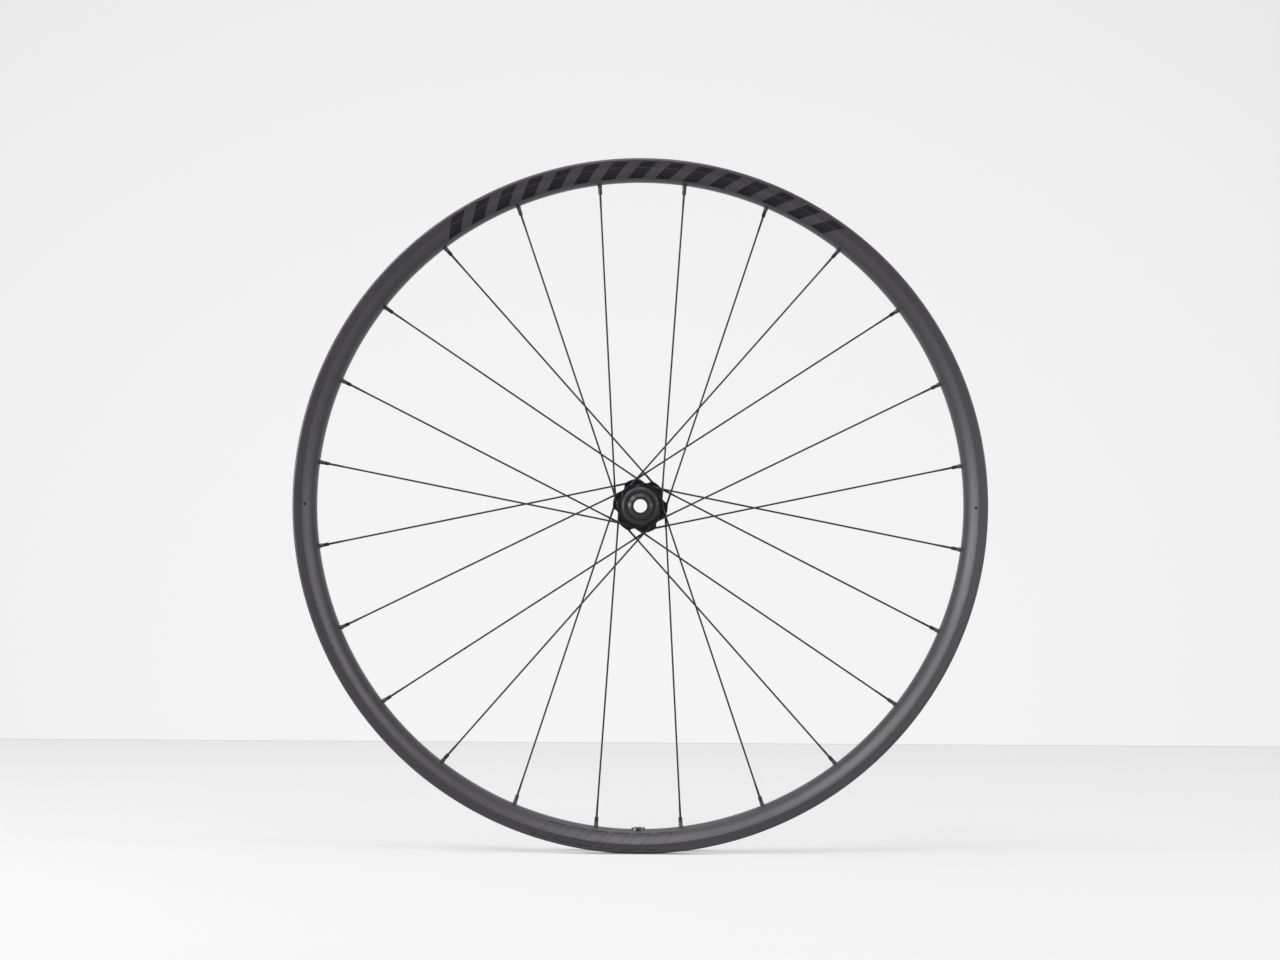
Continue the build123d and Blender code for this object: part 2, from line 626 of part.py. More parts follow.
def build_cage(y):
    """Ball cage with one pocket for each ball."""
    low = y - CAGE_HALF_W
    high = y + CAGE_HALF_W
    cage = turned(
        [(CAGE_INNER_R, low), (CAGE_OUTER_R, low), (CAGE_OUTER_R, high), (CAGE_INNER_R, high)]
    )
    wall = CAGE_OUTER_R - CAGE_INNER_R
    tools = []
    for index in range(BALL_COUNT):
        angle = index * 360.0 / BALL_COUNT
        start = polar(CAGE_INNER_R - wall / 2, angle, y)
        tools.append(drilled(start, polar(1, angle), POCKET_R, 2 * wall))
    return cage - tools


def build_seal(y, side):
    """Seal held in the outer race, its lip clear of the inner race."""
    face = y + side * (BEARING_W / 2 - SEAL_INSET)
    inner = face - side * SEAL_T
    lip = INNER_RACE_R + SEAL_LIP_GAP
    return turned([(lip, inner), (OUTER_RACE_R, inner), (OUTER_RACE_R, face), (lip, face)])


def build_all():
    """Every piece of the wheel by name."""
    pieces = {
        "rim": build_rim(),
        "rim_strip": build_rim_strip(),
        "hub_shell": build_hub_shell(),
        "axle_tube": build_axle_tube(),
    }
    for index in range(SPOKE_COUNT):
        pieces[f"spoke_{index + 1:02d}"] = build_spoke(index)
    pieces["nipples"] = Compound(children=[build_nipple(i) for i in range(SPOKE_COUNT)])
    for name, side in (("right", -1), ("left", 1)):
        y = side * BEARING_Y
        pieces[f"end_cap_{name}"] = build_end_cap(side)
        pieces[f"o_ring_{name}"] = build_o_ring(side)
        pieces[f"bearing_{name}_inner_race"] = bearing_ring(AXLE_SEAT_R, INNER_RACE_R, y)
        pieces[f"bearing_{name}_outer_race"] = bearing_ring(OUTER_RACE_R, BEARING_OUTER_R, y)
        pieces[f"bearing_{name}_balls"] = build_balls(y)
        pieces[f"bearing_{name}_cage"] = build_cage(y)
        pieces[f"bearing_{name}_seal_outer"] = build_seal(y, side)
        pieces[f"bearing_{name}_seal_inner"] = build_seal(y, -side)
    return pieces


os.makedirs("parts", exist_ok=True)
for piece_name, piece in build_all().items():
    export_step(piece, f"parts/{piece_name}.step")
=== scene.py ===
"""Studio scene of a front bicycle wheel standing upright on a pale floor.

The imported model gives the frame: the axle lies along Y, Z is up and the origin is the wheel's centre.
The sizes of the rim, spokes, nipples and stripes are in millimetres, and all other lengths in metres.
Angles are in degrees.
"""

import json
import logging
import math
from dataclasses import dataclass, field
from enum import Enum

import bmesh
import bpy
from mathutils import Matrix, Vector


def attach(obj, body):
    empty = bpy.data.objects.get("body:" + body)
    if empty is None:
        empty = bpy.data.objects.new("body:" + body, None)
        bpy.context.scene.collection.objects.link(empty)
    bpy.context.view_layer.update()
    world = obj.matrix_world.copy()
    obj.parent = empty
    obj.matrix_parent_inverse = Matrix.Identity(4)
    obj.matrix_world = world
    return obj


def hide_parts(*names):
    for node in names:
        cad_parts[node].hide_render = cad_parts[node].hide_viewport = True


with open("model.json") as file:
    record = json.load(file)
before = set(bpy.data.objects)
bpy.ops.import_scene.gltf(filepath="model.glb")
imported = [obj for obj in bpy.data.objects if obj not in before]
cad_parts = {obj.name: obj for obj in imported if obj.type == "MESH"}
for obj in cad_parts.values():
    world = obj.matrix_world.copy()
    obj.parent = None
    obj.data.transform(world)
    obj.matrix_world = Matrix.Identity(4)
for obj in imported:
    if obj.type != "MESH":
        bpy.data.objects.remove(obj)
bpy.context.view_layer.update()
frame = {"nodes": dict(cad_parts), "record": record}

log = logging.getLogger("wheel")
MM = 0.001
IMAGE_WIDTH_PX = 1280.0
TURNING_BODY = "wheel"
SHARP_ANGLE = 35.0
ON_AXIS = 1e-9
TO_AXLE = Matrix.Rotation(math.radians(90), 4, "X").inverted()

Point2 = tuple[float, float]
Span = tuple[float, float]
Colour = tuple[float, float, float]
Socket = bpy.types.NodeSocket


class Grain(Enum):
    """Way in which the fine marks of a finish run."""

    EVEN = "even"
    HOOP = "hoop"
    TURNED = "turned"
    DRAWN = "drawn"


def polar(radius: float, angle: float, y: float = 0.0) -> Vector:
    """Point at a radius and an angle in degrees about the axle."""
    turn = math.radians(angle)
    return Vector((radius * math.cos(turn), y, radius * math.sin(turn)))


def arc_points(centre: Point2, radius: float, start: float, end: float, steps: int) -> list[Point2]:
    """Points along a circular arc.

    Args:
        centre: Middle of the arc.
        radius: Radius of the arc.
        start: First angle in degrees.
        end: Last angle in degrees.
        steps: Number of spans.

    Returns:
        The points, both ends included.
    """
    points = []
    for index in range(steps + 1):
        turn = math.radians(start + (end - start) * index / steps)
        points.append((centre[0] + radius * math.cos(turn), centre[1] + radius * math.sin(turn)))
    return points


def rounded_path(corners: list[Point2], radii: list[float], steps: int = 6) -> list[Point2]:
    """Path through corners with each corner rounded.

    Args:
        corners: Corner points in order.
        radii: Rounding of each corner, zero where it stays sharp.
        steps: Spans in each rounding.

    Returns:
        The points of the rounded path.
    """
    path: list[Point2] = []
    for index, (corner, radius) in enumerate(zip(corners, radii)):
        if radius <= 0 or index in (0, len(corners) - 1):
            path.append(corner)
            continue
        here = Vector(corner)
        back = (Vector(corners[index - 1]) - here).normalized()
        ahead = (Vector(corners[index + 1]) - here).normalized()
        half = back.angle(ahead) / 2
        reach = radius / math.tan(half)
        middle = here + (back + ahead).normalized() * (radius / math.sin(half))
        first = here + back * reach - middle
        last = here + ahead * reach - middle
        sweep = first.angle_signed(last)
        for step in range(steps + 1):
            turn = -sweep * step / steps
            spun = Vector((
                first.x * math.cos(turn) - first.y * math.sin(turn),
                first.x * math.sin(turn) + first.y * math.cos(turn),
            ))
            path.append(tuple(middle + spun))
    return path


class MeshShop:
    """Small set of ways to make and finish meshes."""

    @staticmethod
    def from_bmesh(
        name: str,
        work: bmesh.types.BMesh,
        sharp_angle: float = SHARP_ANGLE,
    ) -> bpy.types.Object:
        """Turn a bmesh into a linked object with smooth faces and sharp edges.

        Args:
            name: Name of the piece.
            work: Mesh data, freed here.
            sharp_angle: Angle above which an edge stays sharp.

        Returns:
            The new object.
        """
        bmesh.ops.recalc_face_normals(work, faces=work.faces)
        mesh = bpy.data.meshes.new(name)
        work.to_mesh(mesh)
        work.free()
        made = bpy.data.objects.new(name, mesh)
        bpy.context.scene.collection.objects.link(made)
        MeshShop.smooth(made, sharp_angle)
        return made

    @staticmethod
    def smooth(made: bpy.types.Object, sharp_angle: float = SHARP_ANGLE) -> None:
        """Smooth the faces of a piece and keep its sharp edges."""
        made.data.shade_smooth()
        made.data.set_sharp_from_angle(angle=math.radians(sharp_angle))

    @staticmethod
    def lathe(
        work: bmesh.types.BMesh,
        profile: list[Point2],
        segments: int,
        closed: bool,
        place: Matrix | None = None,
    ) -> None:
        """Add a turned form to a bmesh, about local Z.

        Args:
            work: Mesh data to add to.
            profile: (radius, height) points; a radius of zero closes an end.
            segments: Number of steps round the axis.
            closed: True where the last point joins the first.
            place: Matrix that puts the form in place.
        """
        rings: list[list[bmesh.types.BMVert]] = []
        place = place or Matrix.Identity(4)
        for radius, height in profile:
            if radius < ON_AXIS:
                rings.append([work.verts.new(place @ Vector((0, 0, height)))])
                continue
            ring = []
            for step in range(segments):
                turn = 2 * math.pi * step / segments
                spot = Vector((radius * math.cos(turn), radius * math.sin(turn), height))
                ring.append(work.verts.new(place @ spot))
            rings.append(ring)
        pairs = list(zip(rings, rings[1:]))
        if closed:
            pairs.append((rings[-1], rings[0]))
        for low, high in pairs:
            for step in range(segments):
                after = (step + 1) % segments
                if len(low) == 1 and len(high) == 1:
                    continue
                if len(low) == 1:
                    work.faces.new((low[0], high[step], high[after]))
                elif len(high) == 1:
                    work.faces.new((low[step], high[0], low[after]))
                else:
                    work.faces.new((low[step], high[step], high[after], low[after]))

    @staticmethod
    def rod(work: bmesh.types.BMesh, radius: float, length: float, segments: int, place: Matrix) -> None:
        """Add a plain round bar that runs along the Z of its place."""
        MeshShop.lathe(work, [(0, 0), (radius, 0), (radius, length), (0, length)], segments, False, place)

    @staticmethod
    def boolean(made: bpy.types.Object, tool: bpy.types.Object, operation: str) -> None:
        """Cut or join a piece with a tool, which is then deleted.

        Args:
            made: Piece that is changed.
            tool: Tool object.
            operation: DIFFERENCE or UNION.
        """
        change = made.modifiers.new("change", "BOOLEAN")
        change.operation = operation
        change.solver = "EXACT"
        change.object = tool
        graph = bpy.context.evaluated_depsgraph_get()
        graph.update()
        mesh = bpy.data.meshes.new_from_object(made.evaluated_get(graph))
        old = made.data
        made.modifiers.clear()
        made.data = mesh
        mesh.name = made.name
        bpy.data.meshes.remove(old)
        old_tool = tool.data
        bpy.data.objects.remove(tool)
        bpy.data.meshes.remove(old_tool)


NOISE_SPAN = (0.3, 0.7)
MIX_COLOUR_SLOTS = (6, 7)
MIX_RESULT_SLOT = 2


class NodeSheet:
    """Thin helper that adds and joins shader nodes of one material."""

    def __init__(self, material: bpy.types.Material) -> None:
        """Start from an empty node tree.

        Args:
            material: Material whose nodes are laid out.
        """
        material.use_nodes = True
        self.tree = material.node_tree
        self.tree.nodes.clear()
        self.output = self.add("ShaderNodeOutputMaterial")

    def add(self, kind: str, **settings: object) -> bpy.types.ShaderNode:
        """Add a node and set its properties.

        Args:
            kind: Type name of the node.
            **settings: Properties to set.

        Returns:
            The node.
        """
        node = self.tree.nodes.new(kind)
        for name, value in settings.items():
            setattr(node, name, value)
        return node

    def join(self, source: Socket, target: Socket) -> None:
        """Link two sockets."""
        self.tree.links.new(source, target)

    def math(self, operation: str, first: object, second: object = 0.0) -> Socket:
        """Math node on sockets or numbers.

        Args:
            operation: Name of the operation.
            first: Socket or number.
            second: Socket or number.

        Returns:
            The result socket.
        """
        node = self.add("ShaderNodeMath", operation=operation)
        for slot, value in enumerate((first, second)):
            if isinstance(value, Socket):
                self.join(value, node.inputs[slot])
            else:
                node.inputs[slot].default_value = value
        return node.outputs[0]

    def hypot(self, first: Socket, second: Socket) -> Socket:
        """Length across two sides that are square to each other."""
        squares = [self.math("MULTIPLY", side, side) for side in (first, second)]
        return self.math("SQRT", self.math("ADD", *squares))

    def noise(self, vector: Socket, scale: float, detail: float) -> Socket:
        """Noise value over a vector.

        Args:
            vector: Place at which the noise is read.
            scale: Number of marks in a metre, about.
            detail: Number of finer layers.

        Returns:
            The noise value, which lies mostly within NOISE_SPAN.
        """
        node = self.add("ShaderNodeTexNoise")
        node.inputs["Scale"].default_value = scale
        node.inputs["Detail"].default_value = detail
        self.join(vector, node.inputs["Vector"])
        return node.outputs[0]

    def split(self, vector: Socket) -> list[Socket]:
        """Take a vector apart.

        Args:
            vector: Vector socket.

        Returns:
            Its x, y and z.
        """
        node = self.add("ShaderNodeSeparateXYZ")
        self.join(vector, node.inputs[0])
        return list(node.outputs)

    def below(self, value: Socket, limit: float, soft: float) -> Socket:
        """Mask that is 1 below a limit and 0 above it.

        Args:
            value: Value that is tested.
            limit: Limit of the mask.
            soft: Half width of the soft edge.

        Returns:
            The mask.
        """
        return self.remap(value, (limit - soft, limit + soft), (1.0, 0.0))

    def remap(self, value: Socket, source: Span, target: Span) -> Socket:
        """Map a value from one span on to another.

        Args:
            value: Value that is mapped.
            source: Span that the value comes from.
            target: Span that it goes to, which it doesn't leave.

        Returns:
            The mapped value.
        """
        node = self.add("ShaderNodeMapRange")
        for name, limit in zip(("From Min", "From Max", "To Min", "To Max"), source + target):
            node.inputs[name].default_value = limit
        self.join(value, node.inputs["Value"])
        return node.outputs[0]

    def mix(self, factor: Socket, low: object, high: object) -> Socket:
        """Blend of two colours by a factor.

        Args:
            factor: 0 for the first colour and 1 for the second.
            low: Colour or socket.
            high: Colour or socket.

        Returns:
            The blended colour.
        """
        node = self.add("ShaderNodeMix", data_type="RGBA")
        self.join(factor, node.inputs[0])
        for slot, value in zip(MIX_COLOUR_SLOTS, (low, high)):
            if isinstance(value, Socket):
                self.join(value, node.inputs[slot])
            else:
                node.inputs[slot].default_value = (*value, 1)
        return node.outputs[MIX_RESULT_SLOT]


@dataclass(frozen=True)
class Zone:
    """Part of a piece in other tones and another roughness; the lighter tones of the zones used here are
    painted highlight.
    """

    dark: Colour
    light: Colour
    roughness: Span
    soft: float = 0.05 * MM

    def mask(self, sheet: NodeSheet, place: Socket) -> Socket:
        """Mask that is 1 in the zone and 0 on the rest of the piece."""
        raise NotImplementedError


@dataclass(frozen=True)
class NoseHighlightZone(Zone):
    """End of a piece past one plane across the axle, whose lighter tone is painted highlight on the rounded
    nose.
    """

    y: float = 0.0

    def mask(self, sheet: NodeSheet, place: Socket) -> Socket:
        """Mask of all that lies before the plane."""
        return sheet.below(sheet.split(place)[1], self.y, self.soft)


@dataclass(frozen=True)
class CollarHighlightZone(Zone):
    """All that lies past a radius about the axle, whose lighter tone is painted light on the nipples'
    collars next to the rim.
    """

    radius: float = 0.0

    def mask(self, sheet: NodeSheet, place: Socket) -> Socket:
        """Mask of all that lies past the radius."""
        x, _, z = sheet.split(place)
        return sheet.math("SUBTRACT", 1.0, sheet.below(sheet.hypot(x, z), self.radius, self.soft))


@dataclass(frozen=True)
class SeatHighlightZone(Zone):
    """Round seat about the vertical axis, on the lower side of the axle, whose lighter tone is painted
    highlight.
    """

    radius: float = 0.0

    def mask(self, sheet: NodeSheet, place: Socket) -> Socket:
        """Mask of all that lies near the axis and below the axle.

        Args:
            sheet: Node sheet of the material.
            place: Place on the piece.

        Returns:
            The mask.
        """
        x, y, z = sheet.split(place)
        near = sheet.below(sheet.hypot(x, y), self.radius, self.soft)
        return sheet.math("MULTIPLY", near, sheet.below(z, 0.0, self.soft))


FINE_SHARE = 0.55
FINE_DETAIL = 4.0
BROAD_DETAIL = 2.0
DRAWN_SQUEEZE = 0.03
HOOP_REACH = 0.02
TURNED_REACH = 0.0004


@dataclass(frozen=True)
class Finish:
    """Surface finish of one kind of piece.

    The colour varies between two tones, and fine marks run in the direction of the grain.
    """

    name: str
    dark: Colour
    light: Colour
    roughness: Span
    metallic: float = 0.0
    specular: float = 0.5
    grain: Grain = Grain.EVEN
    grain_scale: float = 400.0
    tone_scale: float = 30.0
    bump: float = 0.08
    bump_depth: float = 0.00005
    zone: Zone | None = None

    def _grain_vector(self, sheet: NodeSheet) -> Socket:
        """Vector field in which the fine marks are drawn out.

        Args:
            sheet: Node sheet of the material.

        Returns:
            The place, squeezed along the grain.
        """
        place = sheet.add("ShaderNodeTexCoord").outputs["Object"]
        if self.grain is Grain.EVEN:
            return place
        x, y, z = sheet.split(place)
        if self.grain is Grain.DRAWN:
            parts = (x, y, sheet.math("MULTIPLY", z, DRAWN_SQUEEZE))
        else:
            reach = HOOP_REACH if self.grain is Grain.HOOP else TURNED_REACH
            angle = sheet.math("ARCTAN2", z, x)
            parts = (sheet.hypot(x, z), y, sheet.math("MULTIPLY", angle, reach))
        joined = sheet.add("ShaderNodeCombineXYZ")
        for part, slot in zip(parts, joined.inputs):
            sheet.join(part, slot)
        return joined.outputs[0]

    def material(self) -> bpy.types.Material:
        """Build the material once and give it again on later calls.

        Returns:
            The node material.
        """
        found = bpy.data.materials.get(self.name)
        if found is not None:
            return found
        made = bpy.data.materials.new(self.name)
        sheet = NodeSheet(made)
        shader = sheet.add("ShaderNodeBsdfPrincipled")
        shader.inputs["Metallic"].default_value = self.metallic
        shader.inputs["Specular IOR Level"].default_value = self.specular
        place = sheet.add("ShaderNodeTexCoord").outputs["Object"]
        fine = sheet.noise(self._grain_vector(sheet), self.grain_scale, FINE_DETAIL)
        broad = sheet.noise(place, self.tone_scale, BROAD_DETAIL)
        blend = sheet.math(
            "ADD",
            sheet.math("MULTIPLY", fine, FINE_SHARE),
            sheet.math("MULTIPLY", broad, 1 - FINE_SHARE),
        )
        tone = sheet.remap(blend, NOISE_SPAN, (0.0, 1.0))
        colour = sheet.mix(tone, self.dark, self.light)
        roughness = sheet.remap(fine, NOISE_SPAN, self.roughness)
        # A zone's lighter tones are painted highlight on that part of the piece.
        if self.zone is not None:
            inside = self.zone.mask(sheet, place)
            colour = sheet.mix(inside, colour, sheet.mix(tone, self.zone.dark, self.zone.light))
            lift = sheet.math("SUBTRACT", sheet.remap(fine, NOISE_SPAN, self.zone.roughness), roughness)
            roughness = sheet.math("ADD", roughness, sheet.math("MULTIPLY", inside, lift))
        sheet.join(colour, shader.inputs["Base Color"])
        sheet.join(roughness, shader.inputs["Roughness"])
        bump = sheet.add("ShaderNodeBump")
        bump.inputs["Strength"].default_value = self.bump
        bump.inputs["Distance"].default_value = self.bump_depth
        sheet.join(fine, bump.inputs["Height"])
        sheet.join(bump.outputs[0], shader.inputs["Normal"])
        sheet.join(shader.outputs[0], sheet.output.inputs[0])
        made.diffuse_color = (*self.light, 1)
        return made


RIM_SATIN = Finish(
    "rim_satin_charcoal", (0.0208, 0.0178, 0.0222), (0.0264, 0.0228, 0.0280), (0.36, 0.43),
    specular=0.7, grain=Grain.HOOP, grain_scale=1500.0, tone_scale=14.0, bump=0.04,
    # valve seat zone: glossier, and its lighter tone is painted highlight on the seat's walls
    zone=SeatHighlightZone((0.0230, 0.0205, 0.0235), (0.0290, 0.0260, 0.0295), (0.20, 0.27), radius=7.0 * MM),
)
STRIPE_GLOSS = Finish(
    "stripe_gloss_black", (0.0145, 0.0132, 0.0155), (0.0185, 0.0170, 0.0198), (0.24, 0.30),
    specular=0.15, grain_scale=900.0, bump=0.02,
)
STRIP_MATT = Finish(
    "strip_matt_black", (0.018, 0.018, 0.018), (0.028, 0.028, 0.028), (0.55, 0.70),
    grain_scale=1200.0, bump=0.12,
)
SPOKE_STEEL = Finish(
    "spoke_black_steel", (0.0125, 0.0110, 0.0095), (0.0205, 0.0185, 0.0160), (0.28, 0.38), metallic=0.2,
    specular=0.42, grain=Grain.DRAWN, grain_scale=2500.0, tone_scale=60.0, bump=0.04,
)
NIPPLE_BLACK = Finish(
    "nipple_black_anodised", (0.0125, 0.0119, 0.0129), (0.0185, 0.0175, 0.0190), (0.24, 0.32),
    specular=0.4, grain_scale=2500.0, bump=0.05,
    # collar zone: glossier, and its lighter tone is painted highlight that stands in for glints and lifts
    # the shade next to the rim
    zone=CollarHighlightZone(
        (0.047, 0.046, 0.048), (0.068, 0.066, 0.069), (0.20, 0.28), soft=0.6 * MM, radius=291.4 * MM,
    ),
)
HUB_BLACK = Finish(
    "hub_black_anodised", (0.0036, 0.0028, 0.0036), (0.0064, 0.0050, 0.0062), (0.24, 0.31),
    specular=0.38, grain=Grain.TURNED, grain_scale=2600.0, tone_scale=60.0, bump=0.02,
    # nose zone: its lighter grey tone is painted highlight on the hub's rounded nose
    zone=NoseHighlightZone((0.0155, 0.0135, 0.0160), (0.0210, 0.0185, 0.0215), (0.34, 0.41), y=-38.2 * MM),
)
CAP_METAL = Finish(
    "cap_dark_machined", (0.034, 0.033, 0.035), (0.054, 0.052, 0.055), (0.29, 0.37), metallic=0.7,
    grain=Grain.TURNED, grain_scale=3000.0, tone_scale=80.0, bump=0.03,
)
AXLE_METAL = Finish(
    "axle_machined", (0.50, 0.50, 0.51), (0.60, 0.60, 0.61), (0.25, 0.38), metallic=1.0,
    grain=Grain.TURNED, grain_scale=2200.0, tone_scale=60.0, bump=0.06,
)
# Ground steel, set a little darker than bright steel as painted shade for the race deep in the gap behind
# the end cap.
BEARING_STEEL = Finish(
    "bearing_ground_steel", (0.38, 0.38, 0.40), (0.48, 0.48, 0.50), (0.06, 0.12), metallic=1.0,
    grain=Grain.TURNED, grain_scale=4000.0, tone_scale=80.0, bump=0.01,
)
CAGE_NYLON = Finish(
    "cage_nylon", (0.36, 0.32, 0.24), (0.44, 0.40, 0.31), (0.45, 0.60), grain_scale=1500.0, bump=0.08,
)
SEAL_RUBBER = Finish(
    "seal_rubber", (0.0030, 0.0028, 0.0030), (0.0055, 0.0052, 0.0055), (0.48, 0.60), specular=0.12,
    grain_scale=1800.0, bump=0.12,
)


def dress(piece: bpy.types.Object, finish: Finish) -> None:
    """Give a piece one finish in all its material slots."""
    piece.data.materials.clear()
    piece.data.materials.append(finish.material())


def settle(piece: bpy.types.Object, slot: str, finish: Finish, *nodes: str) -> None:
    """Finish a new piece, let it turn with the wheel and hide the nodes that it replaces.

    Args:
        piece: New piece.
        slot: Material slot of the record; not used.
        finish: Surface finish.
        *nodes: Nodes that it replaces.
    """
    dress(piece, finish)
    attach(piece, TURNING_BODY)
    if nodes:
        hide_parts(*nodes)
    log.info("piece %s on %s, %d faces", piece.name, TURNING_BODY, len(piece.data.polygons))


@dataclass
class Lacing:
    """Places of the spokes between hub and rim."""

    count: int = 24
    seat_r: float = 298.5 * MM
    near_tangent_r: float = 18.8 * MM
    far_tangent_r: float = 22.7 * MM
    near_flange_y: float = -33.0 * MM
    far_flange_y: float = 20.0 * MM
    layer: float = 2.2 * MM

    def axis(self, index: int) -> tuple[Vector, Vector, Vector]:
        """Axis of one spoke.

        The spokes take turns between the far and the near flange, and each pair leans the other way.

        Args:
            index: Number of the spoke, from zero.

        Returns:
            Foot on the flange, unit direction and nipple seat.
        """
        pitch = 360.0 / self.count
        rim_angle = pitch / 2 + index * pitch
        far_side = index % 2 == 0
        turn = 1 if index % 4 < 2 else -1
        tangent_r = self.far_tangent_r if far_side else self.near_tangent_r
        flange_y = self.far_flange_y if far_side else self.near_flange_y
        lean = math.degrees(math.asin(tangent_r / self.seat_r))
        foot = polar(tangent_r, rim_angle + turn * (lean - 90), flange_y - turn * self.layer)
        seat = polar(self.seat_r, rim_angle)
        return foot, (seat - foot).normalized(), seat

    @staticmethod
    def place(start: Vector, direction: Vector) -> Matrix:
        """Matrix that puts local Z along a direction from a point."""
        turn = direction.to_track_quat("Z", "Y").to_matrix().to_4x4()
        return Matrix.Translation(start) @ turn


@dataclass
class Rim:
    """Rim with its drilled holes and its valve seat.

    Radii are counted from the axle, and widths from the rim's middle plane.
    """

    lacing: Lacing
    segments: int = 400
    sharp_angle: float = 12.0
    outer_r: float = 316.5
    bead_r: float = 311.0
    crown_r: float = 295.5
    half_width: float = 17.5
    inner_half_width: float = 14.5
    crown_flat: float = 1.8
    crown_pull: float = 5.5
    crease_r: float = 307.77
    crease_tilt: float = 26.0
    crease_pull: float = 8.0
    flank_steps: int = 26
    wall_draft: float = 0.15
    wall_steps: int = 4
    lip_round: float = 2.1
    lip_inner_round: float = 0.7
    bead_round: float = 0.8
    hump_foot: Point2 = (310.6, 10.4)
    hump_top: Point2 = (311.0, 9.6)
    hump_end: Point2 = (310.4, 8.8)
    hump_round: float = 0.3
    channel_r: float = 306.6
    channel_half_width: float = 5.8
    channel_round: float = 0.6
    corner_steps: int = 8
    boss_r: float = 6.9
    boss_draft: float = 12.0
    boss_edge: float = 0.4
    boss_sunk: float = 1.5
    boss_rise: float = 1.5
    boss_steps: int = 5
    boss_segments: int = 64
    valve_r: float = 3.25
    valve_start_r: float = 285.0
    valve_l: float = 30.0
    valve_segments: int = 40
    vent_r: float = 1.1
    vent_pitch_r: float = 305.3
    vent_start: float = 20.0
    vent_l: float = 12.0
    nipple_hole_r: float = 2.25
    nipple_hole_back: float = 10.0
    nipple_hole_l: float = 9.2
    drill_segments: int = 24

    def flank(self, share: float) -> tuple[Vector, Vector]:
        """Point and outward normal on the flank between crown and crease.

        Args:
            share: 0 at the crown and 1 at the crease.

        Returns:
            (radius, y) of the point in mm and of the unit normal.
        """
        tilt = math.radians(self.crease_tilt)
        start = Vector((self.crown_r, self.crown_flat))
        end = Vector((self.crease_r, self.half_width))
        first = start + Vector((0, self.crown_pull))
        second = end - Vector((math.cos(tilt), math.sin(tilt))) * self.crease_pull
        rest = 1 - share
        point = (
            start * rest**3
            + first * 3 * rest**2 * share
            + second * 3 * rest * share**2
            + end * share**3
        )
        along = (
            (first - start) * rest**2
            + (second - first) * 2 * rest * share
            + (end - second) * share**2
        )
        return point, Vector((-along.y, along.x)).normalized()

    def outer_path(self) -> list[Point2]:
        """Visible outside of one half of the section.

        Returns:
            (radius, y) points from the crown over the lip to the middle of the channel.
        """
        shares = [step / self.flank_steps for step in range(self.flank_steps + 1)]
        lower = [tuple(self.flank(share)[0]) for share in shares]
        rounded_corners = (
            (lower[-1], 0.0),
            ((self.outer_r, self.half_width - self.wall_draft), self.lip_round),
            ((self.outer_r, self.inner_half_width), self.lip_inner_round),
            ((self.bead_r, self.inner_half_width), self.bead_round),
            (self.hump_foot, self.hump_round),
            (self.hump_top, self.hump_round),
            (self.hump_end, self.hump_round),
            ((self.channel_r, self.channel_half_width), self.channel_round),
            ((self.channel_r, 0.0), 0.0),
        )
        corners, radii = zip(*rounded_corners)
        upper = rounded_path(list(corners), list(radii), self.corner_steps)
        first = Vector(upper[0])
        second = Vector(upper[1])
        wall = [tuple(first.lerp(second, step / self.wall_steps)) for step in range(1, self.wall_steps)]
        return [(self.crown_r, 0.0)] + lower + wall + upper[1:]

    def section(self) -> list[Point2]:
        """Both halves of the section as one closed outline.

        Returns:
            (radius, y) points in metres.
        """
        half = self.outer_path()
        other = [(r, -y) for r, y in reversed(half[1:-1])]
        return [(r * MM, y * MM) for r, y in half + other]

    def tools(self) -> bpy.types.Object:
        """All drills of the rim as one cutting tool.

        Returns:
            The tool, which is used up by the cut.
        """
        work = bmesh.new()
        for index in range(self.lacing.count):
            _, direction, seat = self.lacing.axis(index)
            place = Lacing.place(seat - direction * self.nipple_hole_back * MM, direction)
            MeshShop.rod(work, self.nipple_hole_r * MM, self.nipple_hole_l * MM, self.drill_segments, place)
        place = Lacing.place(Vector((0, 0, -self.valve_start_r * MM)), Vector((0, 0, -1)))
        MeshShop.rod(work, self.valve_r * MM, self.valve_l * MM, self.valve_segments, place)
        for angle in (0, 180):
            start = polar(self.vent_pitch_r * MM, angle, -self.vent_start * MM)
            place = Lacing.place(start, Vector((0, 1, 0)))
            MeshShop.rod(work, self.vent_r * MM, self.vent_l * MM, self.drill_segments, place)
        return MeshShop.from_bmesh("rim_tools", work)

    def boss(self) -> bpy.types.Object:
        """Raised seat round the valve hole, with a moulding draft and a rounded edge.

        Returns:
            The seat, which is used up by the join.
        """
        work = bmesh.new()
        base = -(self.crown_r + self.boss_sunk) * MM
        top = (self.boss_rise + self.boss_sunk) * MM
        foot_r = self.boss_r * MM
        top_r = foot_r - top * math.tan(math.radians(self.boss_draft))
        corners = [(0, top), (top_r, top), (foot_r, 0), (0, 0)]
        path = rounded_path(corners, [0, self.boss_edge * MM, 0, 0], self.boss_steps)
        MeshShop.lathe(work, path, self.boss_segments, False, Matrix.Translation((0, 0, base)))
        return MeshShop.from_bmesh("rim_boss", work)

    def build(self) -> None:
        """Turn the rim, join its valve seat and drill it."""
        work = bmesh.new()
        MeshShop.lathe(work, self.section(), self.segments, True, TO_AXLE)
        rim = MeshShop.from_bmesh("rim_shell", work)
        MeshShop.boolean(rim, self.boss(), "UNION")
        MeshShop.boolean(rim, self.tools(), "DIFFERENCE")
        MeshShop.smooth(rim, self.sharp_angle)
        settle(rim, "rim_carbon", RIM_SATIN, "rim")


